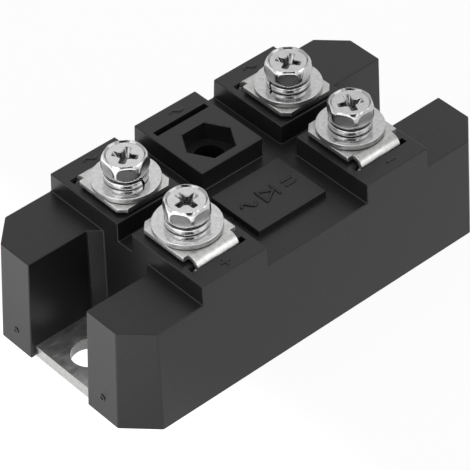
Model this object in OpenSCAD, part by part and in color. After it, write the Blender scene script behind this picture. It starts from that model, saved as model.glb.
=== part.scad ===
// Single-phase bridge rectifier module with a metal base plate and four screw terminals.
// Origin at the middle of the underside, X along the length, Z up, all sizes in millimetres.

/* [Housing] */
// Length of the housing at its foot
base_l = 80; // [66:0.5:96]
// Width of the housing at its foot
base_w = 40; // [38.5:0.5:48]
// Height of the end arms and of the floor between the terminal blocks
shoulder_h = 20.2; // [16.8:0.1:25]
// Height that the terminal blocks rise above that floor
block_rise = 3.8; // [3:0.1:4.6]
// Draft of the outer walls, in degrees from upright
draft = 2.8; // [0.5:0.1:3.4]
// Size of the cut on the four upright corners, at the foot
corner_cut = 5.2; // [4.2:0.1:6.4]
// Distance between the two end walls of the body, inside the arms
body_l = 49.6; // [48:0.2:56]
// Width of the mounting slot between two arms
slot_w = 14.5; // [12:0.1:17.4]
// Width of the mounting slot where it meets the body
throat_w = 10.8; // [9:0.1:12]
// Length of the slanted walls that lead to the throat
throat_l = 2.2; // [1:0.1:3]
// Thickness of the outer walls at the roof, and of the roof itself
wall = 2.4; // [2:0.1:2.9]

/* [Terminal blocks] */
// Distance along Y between the two rows of terminal screws
row_pitch = 15.1; // [12.6:0.1:16]
// Length of a terminal block along X, its outer face flush with the end wall of the body
block_l = 13.8; // [13:0.1:16.5]
// Length of the vacant middle block along X
middle_l = 13.5; // [12.6:0.1:16]
// Width of the channel between the two rows of blocks
channel_w = 3.5; // [2.5:0.1:4.2]
// Height that a nut stands above the terminal block
nut_proud = 0.5; // [0.4:0.1:0.8]
// Clearance on each side of a nut in its pocket
nut_clear = 0.1; // [0.05:0.05:0.2]
// Bevel round the mouth of a nut pocket
mouth_bevel = 0.2; // [0.1:0.05:0.4]
// Clearance round the end of a screw in its well
well_clear = 0.2; // [0.1:0.05:0.5]
// Clearance below the end of a screw in its well
tip_clear = 1.3; // [0.5:0.1:1.6]
// Wall round a screw well where it hangs into the body
well_wall = 1.8; // [1.2:0.1:2.2]
// Thickness of the closed bottom of a screw well
well_bottom = 1.2; // [0.8:0.1:1.5]

/* [Label plate] */
// Length of the bare label plate along X
label_l = 15; // [12.5:0.5:18]
// Width of the bare label plate along Y
label_w = 11.7; // [9.7:0.1:14]
// Height of the bare label plate above the floor
label_h = 1.2; // [0.8:0.1:1.5]
// Distance from the middle line of the module to the label plate
label_inset = 1.2; // [0.8:0.1:2]

/* [Base plate] */
// Thickness of the metal base plate
plate_t = 2.2; // [1.8:0.1:2.7]
// Setback of the base plate behind the end faces of the housing
plate_setback_x = 1; // [0.8:0.1:1.6]
// Setback of the base plate behind the long sides of the housing
plate_setback_y = 1.4; // [1.1:0.1:1.7]
// Width of the housing wall outside the cut corners of the plate
corner_skirt = 1.2; // [1:0.1:1.6]
// Gap round the base plate in its recess
plate_clear = 0.1; // [0.05:0.05:0.2]
// Height that the plate stands out below the housing
plate_proud = 0.2; // [0.1:0.05:0.4]
// Distance from an end of the base plate to the middle of its mounting hole
mount_edge = 5.5; // [4.5:0.1:6.6]
// Diameter of the mounting holes
mount_d = 6.4; // [5.3:0.1:7.7]

/* [Terminal strips] */
// Thickness of the terminal sheet
strip_t = 0.9; // [0.75:0.05:1.1]
// Width of the terminal head
head_w = 11.2; // [9.4:0.1:12.5]
// Distance from the screw to the inner end of a head
head_back = 5.5; // [5:0.1:6]
// Distance from the screw to the outer corners of a head
head_front = 4.9; // [4.6:0.1:5.3]
// Cut on the inner corners of a head
head_cut = 1.3; // [0.8:0.1:1.8]
// Width of the neck between the head and the fold
neck_w = 8.8; // [7.4:0.1:9.2]
// Distance that a stop shoulder stands out beside the neck, inside the housing slot
stop_step = 0.9; // [0.6:0.1:1.1]
// Distance from the screw to the outer face of the strip
strip_reach = 7.5; // [7:0.1:8]
// Outer radius of the fold above the housing slot
fold_r = 1.9; // [1.5:0.1:2.1]
// Width of the leg that goes down to the tracks
leg_w = 5; // [4.2:0.1:6]
// Distance below the roof at which the strip has narrowed to its leg
leg_drop = 1; // [0.6:0.1:1.5]
// Inner radius of the bend between the leg and its foot
foot_bend = 0.6; // [0.4:0.1:0.8]
// Length of the foot soldered to a track
foot_l = 3.4; // [2.8:0.1:4]
// Clearance on each face of the strip in its housing slot
strip_clear = 0.15; // [0.1:0.05:0.25]
// Clearance at each end of the stop shoulders in the housing slot
stop_clear = 0.4; // [0.2:0.1:0.6]

/* [Terminal hardware] */
// Thread diameter of the terminal screws
thread_d = 5; // [4.2:0.1:6]
// Clearance between the screw and what it passes through
thread_clear = 0.1; // [0.05:0.05:0.2]
// Length of a terminal screw under its head
screw_l = 12; // [10:0.5:14]
// Distance across the flats of a screw head
head_af = 7.1; // [6.6:0.1:8.5]
// Height of a screw head
head_h = 3.7; // [3.1:0.1:4.4]
// Radius of the barrel form that rounds the corners of a head
barrel_r = 3.7; // [3.2:0.1:4.5]
// Height at which that form is widest
barrel_z = 1.7; // [1.4:0.1:2]
// Distance by which that form takes off the sharp corners
corner_loss = 0.15; // [0.1:0.05:0.3]
// Radius of the upper edge of a head's flats
crown_r = 0.7; // [0.4:0.1:0.9]
// Width of the rim between a flat and the sunken face
rim_w = 0.5; // [0.4:0.1:0.8]
// Depth of the sunken face
dish_depth = 0.6; // [0.3:0.05:0.8]
// Span of the cross recess
cross_span = 4.4; // [3.7:0.1:5]
// Width of one wing of the cross recess
cross_w = 1.15; // [0.95:0.05:1.4]
// Depth of the cross recess below the sunken face
cross_depth = 1.7; // [1.2:0.1:2]
// Outer diameter of the split spring washers
spring_od = 7.5; // [7.2:0.1:9]
// Height of the split spring washers
spring_h = 1.25; // [1.05:0.05:1.5]
// Width of the split in a spring washer
spring_gap = 0.5; // [0.3:0.1:0.8]
// Outer diameter of the flat washers
washer_od = 11.7; // [9.8:0.1:12.4]
// Thickness of the flat washers
washer_t = 1.1; // [0.9:0.1:1.3]
// Distance across the flats of the nuts
nut_af = 8; // [7:0.1:9.6]
// Height of the nuts
nut_h = 4; // [3.4:0.1:4.8]

/* [Circuit] */
// Thickness of the ceramic substrate
ceramic_t = 0.7; // [0.6:0.1:1]
// Gap between the substrate and the walls of the housing
ceramic_gap = 0.8; // [0.6:0.1:1]
// Bare border of the substrate round the tracks
track_border = 0.6; // [0.5:0.1:0.8]
// Thickness of the copper tracks
track_t = 0.3; // [0.25:0.05:0.4]
// Gap between neighbouring tracks
track_gap = 1; // [0.8:0.1:1.2]
// Length of the minus track along X
minus_track_l = 13; // [11:0.5:14]
// Side of a square diode chip
chip_side = 6; // [5:0.2:7.2]
// Thickness of a diode chip
chip_t = 0.4; // [0.3:0.05:0.5]
// Distance along X between the chips of a row
chip_pitch = 12; // [10:0.5:13]
// Gap between a chip and the terminal foot or jumper foot beside it
chip_gap = 0.8; // [0.5:0.1:1]
// Thickness of the copper jumpers and of the bus strap
jumper_t = 0.5; // [0.4:0.05:0.6]
// Width of the jumpers and of the bus strap
jumper_w = 3; // [2.5:0.1:3.6]
// Length of the soldered feet of the jumpers and of the bus strap
jumper_foot = 2.4; // [2:0.1:2.8]
// Height of a jumper's bridge above the chips
jumper_rise = 2; // [1.7:0.1:2.4]
// Free height between the jumpers and the bus strap that crosses them
strap_gap = 0.5; // [0.3:0.1:1]
// Distance along X from the terminal screws inwards to the middle of the bus strap's leg
strap_inset = 1; // [0.5:0.1:1.5]
// Depth of the soft filling over the base plate
gel_depth = 7.5; // [6.5:0.1:9]

/* [Hidden] */
$fn = 64;
eps = 0.01;
slope = tan(draft);

// levels, from the underside up
foot_z = plate_proud;
roof_z = shoulder_h - wall;
block_top = shoulder_h + block_rise;
strip_z = block_top + nut_proud;
washer_z = strip_z + strip_t;
spring_z = washer_z + washer_t;
screw_z = spring_z + spring_h;
pocket_floor = strip_z - nut_h;
well_floor = screw_z - screw_l - tip_clear;
track_z = plate_t + ceramic_t;
chip_z = track_z + track_t;
jumper_z = chip_z + chip_t;
strap_top = jumper_z + jumper_rise + strap_gap + jumper_t;

// places of the screws and of the strips
rows = row_pitch / 2;
columns = (body_l - block_l) / 2;
strip_out = rows + strip_reach;
strip_mid = strip_out - strip_t / 2;
stop_w = neck_w + 2 * stop_step;
bore_d = thread_d + 2 * thread_clear;
pocket_af = nut_af + 2 * nut_clear;

// outlines
corner_span = (base_l + base_w - 2 * corner_cut) / sqrt(2);
plate_l = base_l - 2 * plate_setback_x;
plate_w = base_w - 2 * plate_setback_y;
plate_cut = corner_cut + corner_skirt * sqrt(2) - plate_setback_x - plate_setback_y;
cavity_l = body_l - 2 * wall;
cavity_w = base_w - 2 * slope * shoulder_h - 2 * wall;

// circuit
ceramic_l = cavity_l - 2 * ceramic_gap;
ceramic_w = cavity_w - 2 * ceramic_gap;
track_x = ceramic_l / 2 - track_border;
track_y = ceramic_w / 2 - track_border;
dc_split = track_x - minus_track_l - track_gap / 2;
ac_split = (dc_split - track_x) / 2;
chip_x = [ac_split - chip_pitch / 2, ac_split + chip_pitch / 2];
chip_y = strip_out - foot_l - chip_gap - chip_side / 2;
jumper_y = chip_y - chip_side / 2 - chip_gap - jumper_foot / 2;
drop_x = columns - strap_inset;

POSITIONS = [
    // side along X, side along Y, turn of the head, turn of the cross recess, turn of the washer's split
    [-1, 1, 24.6, 34.9, -82],
    [1, 1, 19.6, 29.6, 174],
    [-1, -1, 1.8, 92, 40],
    [1, -1, 0.5, 65.6, 75]
];

// Shared shapes

// A bar along Y with a flat foot, whose two long faces lean inwards by `lean` for each unit of height.
module leaning_bar(w, h, l, lean) {
    rotate([90, 0, 0])
        linear_extrude(l, center = true)
            polygon([[-w / 2, 0], [w / 2, 0], [w / 2 - lean * h, h], [-w / 2 + lean * h, h]]);
}

// A bar along Y whose two upper edges are rounded.
module crowned_bar(w, h, l, r) {
    rotate([90, 0, 0])
        linear_extrude(l, center = true) {
            translate([-w / 2, 0]) square([w, h - r]);
            translate([-w / 2 + r, 0]) square([w - 2 * r, h]);
            for (s = [-1, 1])
                translate([s * (w / 2 - r), h - r]) circle(r = r);
        }
}

// A rectangle with its four corners cut.
module cut_rect(l, w, cut) {
    polygon([
        [-l / 2 + cut, -w / 2], [l / 2 - cut, -w / 2], [l / 2, -w / 2 + cut], [l / 2, w / 2 - cut],
        [l / 2 - cut, w / 2], [-l / 2 + cut, w / 2], [-l / 2, w / 2 - cut], [-l / 2, -w / 2 + cut]
    ]);
}

// A hexagonal prism with two flats parallel to X.
module hex_prism(af, h) {
    cylinder(d = af / cos(30), h = h, $fn = 6);
}

// Moves a terminal that is drawn over the +Y row to its own place.
module at_terminal(i) {
    translate([POSITIONS[i][0] * columns, 0, 0])
        mirror([0, POSITIONS[i][1] < 0 ? 1 : 0, 0])
            children();
}

// Moves what sits on a screw's axis to its own place.
module at_screw(i, z) {
    translate([POSITIONS[i][0] * columns, POSITIONS[i][1] * rows, z]) children();
}

// Housing

// The drafted block with four cut corners that everything else is taken out of.
module outer_form() {
    h = block_top - foot_z;
    translate([0, 0, foot_z])
        intersection() {
            leaning_bar(base_l, h, 2 * base_w, slope);
            rotate([0, 0, 90]) leaning_bar(base_w, h, 2 * base_l, slope);
            rotate([0, 0, 45]) leaning_bar(corner_span, h, 2 * base_l, slope);
            rotate([0, 0, -45]) leaning_bar(corner_span, h, 2 * base_l, slope);
        }
}

// What is taken away above the arms and the floor, so that the terminal blocks stay.
module above_floor() {
    translate([0, 0, shoulder_h])
        linear_extrude(block_rise + 1)
            difference() {
                square([2 * base_l, 2 * base_w], center = true);
                for (sx = [-1, 1])
                    for (m = [0, 1])
                        mirror([0, m])
                            translate([sx * columns - block_l / 2, channel_w / 2]) square([block_l, base_w]);
                translate([-middle_l / 2, channel_w / 2]) square([middle_l, base_w]);
            }
}

// The slot between two arms, seen from above, open at the end of the housing.
module end_slot_outline() {
    x0 = body_l / 2;
    x1 = x0 + throat_l;
    polygon([
        [x0, -throat_w / 2], [x1, -slot_w / 2], [base_l, -slot_w / 2],
        [base_l, slot_w / 2], [x1, slot_w / 2], [x0, throat_w / 2]
    ]);
}

// The hollow that lightens one arm from below: the arm's outline at the roof, set in by the wall.
module arm_core_outline() {
    inset = slope * shoulder_h + wall;
    x0 = body_l / 2;
    x1 = base_l / 2 - inset;
    y0 = slot_w / 2 + wall;
    y1 = base_w / 2 - inset;
    diagonal = corner_span / sqrt(2) - inset * sqrt(2);
    polygon([[x0, y0], [x1, y0], [x1, diagonal - x1], [diagonal - y1, y1], [x0, y1]]);
}

// A bevelled pocket for a captive nut, with a blind well for the end of the screw.
module nut_pocket(x, y) {
    translate([x, y, 0]) {
        translate([0, 0, pocket_floor]) hex_prism(pocket_af, block_top - pocket_floor + 1);
        translate([0, 0, block_top - mouth_bevel])
            intersection_for (a = [30, 90, 150])
                rotate([0, 0, a]) leaning_bar(pocket_af, mouth_bevel + 1, 4 * nut_af, -1);
        translate([0, 0, well_floor]) cylinder(d = thread_d + 2 * well_clear, h = block_top - well_floor);
    }
}

// The upright slot that a terminal strip drops into, through the roof of the body.
module strip_slot(x, side) {
    w = stop_w + 2 * stop_clear;
    t = strip_t + 2 * strip_clear;
    translate([x - w / 2, side * strip_mid - t / 2, roof_z - 1])
        cube([w, t, block_top - roof_z + 2]);
}

module housing() {
    color([0.16, 0.16, 0.17])
        difference() {
            union() {
                difference() {
                    outer_form();
                    above_floor();
                    translate([-cavity_l / 2, -cavity_w / 2, 0]) cube([cavity_l, cavity_w, roof_z]);
                }
                // closed wells that hang into the body
                for (p = [[-1, 1], [1, 1], [-1, -1], [1, -1], [0, 1]])
                    translate([p[0] * columns, p[1] * rows, well_floor - well_bottom])
                        cylinder(d = thread_d + 2 * (well_clear + well_wall), h = pocket_floor - well_floor);
                translate([-label_l / 2, -label_inset - label_w, shoulder_h - eps])
                    cube([label_l, label_w, label_h + eps]);
            }
            for (mx = [0, 1])
                mirror([mx, 0, 0]) {
                    linear_extrude(block_top + 1) end_slot_outline();
                    for (my = [0, 1])
                        mirror([0, my, 0])
                            linear_extrude(roof_z) arm_core_outline();
                }
            linear_extrude(plate_t)
                cut_rect(plate_l + 2 * plate_clear, plate_w + 2 * plate_clear, plate_cut);
            for (sx = [-1, 1])
                for (sy = [-1, 1]) {
                    nut_pocket(sx * columns, sy * rows);
                    strip_slot(sx * columns, sy);
                }
            nut_pocket(0, rows);
            strip_slot(0, 1);
        }
}

// Base plate

module base_plate() {
    color([0.72, 0.72, 0.73])
        difference() {
            linear_extrude(plate_t) cut_rect(plate_l, plate_w, plate_cut);
            for (s = [-1, 1])
                translate([s * (plate_l / 2 - mount_edge), 0, -1]) cylinder(d = mount_d, h = plate_t + 2);
        }
}

// Terminal strips

// The head with its clipped corners and the neck that leads to the fold.
module head_outline() {
    half = head_w / 2;
    shoulder = (head_w - neck_w) / 2;
    y0 = rows - head_back;
    y1 = rows + head_front;
    fold_y = strip_out - fold_r;
    difference() {
        union() {
            polygon([
                [-half + head_cut, y0], [half - head_cut, y0], [half, y0 + head_cut], [half, y1 - shoulder],
                [half - shoulder, y1], [-half + shoulder, y1], [-half, y1 - shoulder], [-half, y0 + head_cut]
            ]);
            translate([-neck_w / 2, rows]) square([neck_w, fold_y - rows + eps]);
        }
        translate([0, rows]) circle(d = bore_d);
    }
}

// A strip's quarter bend: it starts at the origin along +Y and turns down about a centre at z = -r.
module quarter_bend(w, r) {
    translate([0, 0, -r])
        rotate([90, 0, 90])
            linear_extrude(w, center = true)
                intersection() {
                    difference() {
                        circle(r = r);
                        circle(r = r - strip_t);
                    }
                    square(r + 1);
                }
}

// The upright part, seen along Y: the neck, the stop shoulders in the slot and the narrower leg.
module riser_outline(top, bottom) {
    slant = 0.6;
    leg_top = roof_z - leg_drop;
    leg_slant = (stop_w - leg_w) / 4;
    for (m = [0, 1])
        mirror([m, 0])
            polygon([
                [-eps, top], [neck_w / 2, top],
                [neck_w / 2, block_top - slant], [stop_w / 2, block_top - 2 * slant],
                [stop_w / 2, leg_top + leg_slant], [leg_w / 2, leg_top],
                [leg_w / 2, bottom], [-eps, bottom]
            ]);
}

module terminal() {
    bend_r = strip_t + foot_bend;
    translate([0, 0, strip_z]) linear_extrude(strip_t) head_outline();
    translate([0, strip_out - fold_r, washer_z]) quarter_bend(neck_w, fold_r);
    translate([0, strip_out, 0])
        rotate([90, 0, 0])
            linear_extrude(strip_t) riser_outline(washer_z - fold_r + eps, chip_z + bend_r - eps);
    translate([0, strip_out - bend_r, chip_z]) mirror([0, 0, 1]) quarter_bend(leg_w, bend_r);
    translate([-leg_w / 2, strip_out - foot_l, chip_z]) cube([leg_w, foot_l - bend_r + eps, strip_t]);
}

// Terminal hardware

// A nut with bevelled corners at both ends.
module nut() {
    bevel = 0.4;
    flat_r = nut_af / 2;
    point_r = flat_r / cos(30);
    difference() {
        intersection() {
            hex_prism(nut_af, nut_h);
            rotate_extrude()
                polygon([
                    [0, 0], [flat_r, 0], [point_r, bevel],
                    [point_r, nut_h - bevel], [flat_r, nut_h], [0, nut_h]
                ]);
        }
        translate([0, 0, -1]) cylinder(d = bore_d, h = nut_h + 2);
    }
}

module flat_washer() {
    bevel = 0.25;
    rotate_extrude()
        polygon([
            [bore_d / 2, 0], [washer_od / 2, 0], [washer_od / 2, washer_t - bevel],
            [washer_od / 2 - bevel, washer_t], [bore_d / 2, washer_t]
        ]);
}

// A ring with softened outer edges and a slanted split that opens towards +X.
module spring_washer() {
    bevel = 0.15;
    lean = 20;
    difference() {
        rotate_extrude()
            polygon([
                [bore_d / 2, 0], [spring_od / 2 - bevel, 0], [spring_od / 2, bevel],
                [spring_od / 2, spring_h - bevel], [spring_od / 2 - bevel, spring_h], [bore_d / 2, spring_h]
            ]);
        translate([0, 0, spring_h / 2])
            rotate([lean, 0, 0])
                translate([0, -spring_gap / 2, -spring_od]) cube([spring_od, spring_gap, 2 * spring_od]);
    }
}

// The six flats of a head, each pair rounded over its upper edges.
module crowned_hexagon(turn) {
    intersection_for (a = [30, 90, 150])
        rotate([0, 0, turn + a]) crowned_bar(head_af, head_h, 3 * head_af, crown_r);
}

// The barrel that rounds the six corners of a head, with a bevelled foot.
module head_barrel() {
    widest_r = head_af / 2 / cos(30) - corner_loss;
    foot_inset = 0.2;
    foot_r = head_af / 2 - foot_inset;
    bevel = 0.3;
    rotate_extrude()
        intersection() {
            translate([widest_r - barrel_r, barrel_z]) circle(r = barrel_r);
            polygon([
                [0, 0], [foot_r, 0], [foot_r + bevel, bevel],
                [head_af, bevel], [head_af, head_h], [0, head_h]
            ]);
        }
}

// A cross recess whose wings run in towards the bottom, drawn below z = 0.
module cross_recess() {
    wing_lean = 0.55;
    bottom_l = cross_span - 2 * wing_lean * cross_depth;
    for (a = [0, 90])
        rotate([0, 0, a])
            translate([0, 0, -cross_depth])
                leaning_bar(bottom_l, cross_depth + eps, cross_w, -wing_lean);
}

// An upset hexagon head with crowned flats, barrelled corners and a sunken face with a cross recess.
module screw(turn, cross_turn) {
    dish_r = head_af / 2 - rim_w;
    dish_z = head_h - dish_depth;
    point = 0.5;
    difference() {
        union() {
            intersection() {
                crowned_hexagon(turn);
                head_barrel();
            }
            translate([0, 0, point - screw_l]) cylinder(d = thread_d, h = screw_l - point + eps);
            translate([0, 0, -screw_l]) cylinder(d1 = thread_d - 2 * point, d2 = thread_d, h = point + eps);
        }
        translate([0, 0, dish_z]) cylinder(r1 = dish_r - dish_depth / 2, r2 = dish_r, h = dish_depth + eps);
        translate([0, 0, dish_z]) rotate([0, 0, cross_turn]) cross_recess();
    }
}

// Circuit

module ceramic_substrate() {
    color([0.93, 0.93, 0.9])
        translate([-ceramic_l / 2, -ceramic_w / 2, plate_t]) cube([ceramic_l, ceramic_w, ceramic_t]);
}

// One copper track between two corners.
module track(x0, y0, x1, y1) {
    color([0.8, 0.5, 0.3])
        translate([x0, y0, track_z]) cube([x1 - x0, y1 - y0, track_t]);
}

module track_ac_left() {
    track(-track_x, track_gap / 2, ac_split - track_gap / 2, track_y);
}

module track_ac_right() {
    track(ac_split + track_gap / 2, track_gap / 2, track_x, track_y);
}

module track_plus() {
    track(-track_x, -track_y, dc_split - track_gap / 2, -track_gap / 2);
}

module track_minus() {
    track(dc_split + track_gap / 2, -track_y, track_x, -track_gap / 2);
}

module diode_chip(column, side) {
    color([0.35, 0.36, 0.4])
        translate([chip_x[column] - chip_side / 2, side * chip_y - chip_side / 2, chip_z])
            cube([chip_side, chip_side, chip_t]);
}

// A jumper that steps from a chip of the plus track over to the track beside it.
module jumper(column) {
    half = jumper_foot / 2;
    t = jumper_t;
    top = jumper_rise;
    run = chip_y + jumper_y;
    color([0.82, 0.52, 0.32])
        translate([chip_x[column], -chip_y, jumper_z])
            rotate([90, 0, 90])
                linear_extrude(jumper_w, center = true)
                    polygon([
                        [-half, 0], [half, 0], [half, top - t], [run - half, top - t], [run - half, -chip_t],
                        [run + half, -chip_t], [run + half, t - chip_t], [run - half + t, t - chip_t],
                        [run - half + t, top], [half - t, top], [half - t, t], [-half, t]
                    ]);
}

// The strap that joins the two upper chips and comes down on the minus track.
module bus_strap() {
    t = jumper_t;
    w = jumper_w;
    foot_y = -track_gap / 2 - chip_gap - jumper_foot;
    color([0.82, 0.52, 0.32]) {
        // bridge over both chips
        translate([chip_x[0] - w / 2, chip_y - w / 2, strap_top - t]) cube([drop_x - chip_x[0] + w, w, t]);
        for (x = chip_x)
            translate([x - w / 2, chip_y - w / 2, 0]) {
                translate([0, 0, jumper_z]) cube([t, w, strap_top - jumper_z]);
                translate([0, 0, jumper_z]) cube([jumper_foot, w, t]);
            }
        // arm across the gap and the leg that stands on the minus track
        translate([drop_x - w / 2, foot_y, strap_top - t]) cube([w, chip_y - foot_y, t]);
        translate([drop_x - w / 2, foot_y, chip_z]) cube([w, t, strap_top - chip_z]);
        translate([drop_x - w / 2, foot_y, chip_z]) cube([w, jumper_foot, t]);
    }
}

// Soft filling that covers the circuit, cut by everything that stands in it.
module gel_filling() {
    color([0.75, 0.77, 0.8])
        difference() {
            translate([-cavity_l / 2, -cavity_w / 2, plate_t]) cube([cavity_l, cavity_w, gel_depth]);
            ceramic_substrate();
            track_ac_left();
            track_ac_right();
            track_plus();
            track_minus();
            for (column = [0, 1]) {
                diode_chip(column, 1);
                diode_chip(column, -1);
                jumper(column);
            }
            bus_strap();
            for (i = [0:3])
                at_terminal(i) terminal();
        }
}

// Pieces that stand four times in the module, in the order of POSITIONS

module terminal_node(i) {
    color([0.83, 0.83, 0.84]) at_terminal(i) terminal();
}

module nut_node(i) {
    color([0.78, 0.78, 0.8]) at_screw(i, pocket_floor) nut();
}

module flat_washer_node(i) {
    color([0.85, 0.85, 0.87]) at_screw(i, washer_z) flat_washer();
}

module spring_washer_node(i) {
    color([0.8, 0.8, 0.82])
        at_screw(i, spring_z)
            rotate([0, 0, POSITIONS[i][4]]) spring_washer();
}

module screw_node(i) {
    color([0.86, 0.86, 0.88]) at_screw(i, screw_z) screw(POSITIONS[i][2], POSITIONS[i][3]);
}

housing();
base_plate();
terminal_node(0);  // terminal_ac_left
terminal_node(1);  // terminal_ac_right
terminal_node(2);  // terminal_plus
terminal_node(3);  // terminal_minus
nut_node(0);  // nut_ac_left
nut_node(1);  // nut_ac_right
nut_node(2);  // nut_plus
nut_node(3);  // nut_minus
flat_washer_node(0);  // flat_washer_ac_left
flat_washer_node(1);  // flat_washer_ac_right
flat_washer_node(2);  // flat_washer_plus
flat_washer_node(3);  // flat_washer_minus
spring_washer_node(0);  // spring_washer_ac_left
spring_washer_node(1);  // spring_washer_ac_right
spring_washer_node(2);  // spring_washer_plus
spring_washer_node(3);  // spring_washer_minus
screw_node(0);  // screw_ac_left
screw_node(1);  // screw_ac_right
screw_node(2);  // screw_plus
screw_node(3);  // screw_minus
ceramic_substrate();
track_ac_left();
track_ac_right();
track_plus();
track_minus();
diode_chip(0, -1);  // diode_chip_plus_left
diode_chip(1, -1);  // diode_chip_plus_right
diode_chip(0, 1);  // diode_chip_minus_left
diode_chip(1, 1);  // diode_chip_minus_right
jumper(0);  // jumper_left
jumper(1);  // jumper_right
bus_strap();
gel_filling();
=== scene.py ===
# Bridge rectifier module: a moulded black housing on a nickel-plated plate, with four screw terminals.
# The script builds it in the order in which the module is put together, from the plate up. Sizes are in
# millimetres, and MM turns them into metres. Only the stage around the module is given in metres.

import math

import bmesh
import bpy
from mathutils import Matrix, Vector


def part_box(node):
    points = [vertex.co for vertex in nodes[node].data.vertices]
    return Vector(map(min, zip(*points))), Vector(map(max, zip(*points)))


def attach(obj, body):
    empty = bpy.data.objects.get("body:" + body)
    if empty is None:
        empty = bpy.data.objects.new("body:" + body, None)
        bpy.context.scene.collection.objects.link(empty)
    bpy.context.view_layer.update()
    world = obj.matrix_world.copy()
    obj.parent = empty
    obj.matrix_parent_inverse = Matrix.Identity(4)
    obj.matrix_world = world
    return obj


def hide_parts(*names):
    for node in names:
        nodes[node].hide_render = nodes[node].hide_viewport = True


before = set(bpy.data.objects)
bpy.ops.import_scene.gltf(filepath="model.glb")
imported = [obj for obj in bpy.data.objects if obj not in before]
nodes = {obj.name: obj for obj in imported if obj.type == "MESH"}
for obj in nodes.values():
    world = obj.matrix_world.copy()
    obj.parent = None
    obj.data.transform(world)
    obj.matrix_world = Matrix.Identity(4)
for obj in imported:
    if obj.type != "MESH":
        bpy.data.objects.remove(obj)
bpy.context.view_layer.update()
BODY = "root"
MM = 0.001


# Base plate
# A punched copper plate, nickel plated, that carries the circuit and spreads its heat.
# Its bare ends stand at the foot of the two mounting slots, each with the hole for one screw.

PLATE_EDGE = 0.15
PLATE_END = 2.0
HOLE_REACH = 5.0
LEVEL_NORMAL = 0.6
ROUGHER_BY = 0.17
SCRATCH_STRETCH, SCRATCH_SCALE = (0.25, 1.0, 1.0), 1.7
SCRATCH_FROM, SCRATCH_TO = 0.66, 0.76
SCRATCH_ROUGHER, SCRATCH_DEPTH = 0.1, 0.5


def place(tree, kind, inputs=None, **settings):
    """Adds one node to a tree. An input is given as a value, or as the socket that feeds it."""
    node = tree.nodes.new(kind)
    for name, value in settings.items():
        setattr(node, name, value)
    for name, value in (inputs or {}).items():
        if isinstance(value, bpy.types.NodeSocket):
            tree.links.new(value, node.inputs[name])
        else:
            node.inputs[name].default_value = value
    return node


def reckon(tree, operation, *values, **settings):
    """What a Math node makes of some values, each a number or the socket that gives it."""
    return place(tree, "ShaderNodeMath", dict(enumerate(values)), operation=operation, **settings).outputs[0]


def scaled(tree, vector, share):
    """A colour or vector times one number."""
    return place(tree, "ShaderNodeVectorMath", {0: vector, "Scale": share}, operation="SCALE").outputs[0]


def drawn_out(tree, vector, by):
    """A vector with each of its three parts times a number of its own."""
    return place(tree, "ShaderNodeVectorMath", {0: vector, 1: by}, operation="MULTIPLY").outputs[0]


def noise(tree, at, scale, detail, **values):
    """A soft random pattern, from 0 to 1 and mostly near the middle."""
    inputs = {"Vector": at, "Scale": scale, "Detail": detail, **values}
    return place(tree, "ShaderNodeTexNoise", inputs).outputs["Fac"]


def remapped(tree, value, low, high, to_low=0.0, to_high=1.0, **settings):
    """A value moved from one range to another and kept inside it."""
    inputs = {"Value": value, "From Min": low, "From Max": high, "To Min": to_low, "To Max": to_high}
    return place(tree, "ShaderNodeMapRange", inputs, **settings).outputs[0]


def begin_effect(name, inputs, outputs):
    """An empty node group with named inputs (name, kind, value) and outputs (name, kind)."""
    group = bpy.data.node_groups.new(name, "ShaderNodeTree")
    for label, kind, value in inputs:
        socket = group.interface.new_socket(label, in_out="INPUT", socket_type=kind)
        socket.default_value = value
    for label, kind in outputs:
        group.interface.new_socket(label, in_out="OUTPUT", socket_type=kind)
    return group, place(group, "NodeGroupInput").outputs, place(group, "NodeGroupOutput")


def millimetres(tree):
    """Object coordinates of a piece, in millimetres."""
    return drawn_out(tree, place(tree, "ShaderNodeTexCoord").outputs["Object"], (1000, 1000, 1000))


def plated_metal():
    """Plating over metal: soft clouds in its colour, fine drawn grain and a few short scratches."""
    group, given, result = begin_effect(
        "plated_metal",
        [("Tint", "NodeSocketColor", (0.6, 0.6, 0.6, 1)), ("Cloud Size", "NodeSocketFloat", 3.0),
         ("Cloud Depth", "NodeSocketFloat", 0.1), ("Grain Scale", "NodeSocketVector", (0.3, 6.0, 6.0)),
         ("Roughness", "NodeSocketFloat", 0.2), ("Roughness Spread", "NodeSocketFloat", 0.08)],
        [("Color", "NodeSocketColor"), ("Roughness", "NodeSocketFloat"), ("Height", "NodeSocketFloat")])
    at = millimetres(group)
    cloud = noise(group, at, reckon(group, "DIVIDE", 1.0, given["Cloud Size"]), 4.0, Roughness=0.6)
    along = drawn_out(group, at, given["Grain Scale"])
    grain = noise(group, along, 1.0, 3.0)
    scratch = noise(group, drawn_out(group, along, SCRATCH_STRETCH), SCRATCH_SCALE, 1.0)
    line = remapped(group, scratch, SCRATCH_FROM, SCRATCH_TO)
    shade = reckon(group, "MULTIPLY_ADD", reckon(group, "SUBTRACT", cloud, 0.5), given["Cloud Depth"], 1.0)
    group.links.new(scaled(group, given["Tint"], shade), result.inputs["Color"])
    uneven = reckon(group, "SUBTRACT", reckon(group, "ADD", grain, cloud), 1.0)
    rough = reckon(group, "MULTIPLY_ADD", uneven, given["Roughness Spread"], given["Roughness"])
    rough = reckon(group, "MULTIPLY_ADD", line, SCRATCH_ROUGHER, rough, use_clamp=True)
    group.links.new(rough, result.inputs["Roughness"])
    group.links.new(reckon(group, "MULTIPLY_ADD", line, -SCRATCH_DEPTH, grain), result.inputs["Height"])
    return group


PLATED = plated_metal()


def begin_material(name):
    """A new material with its tree and the inputs of its surface shader."""
    material = bpy.data.materials.new(name)
    material.use_nodes = True
    tree = material.node_tree
    return material, tree, tree.nodes["Principled BSDF"].inputs


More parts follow.
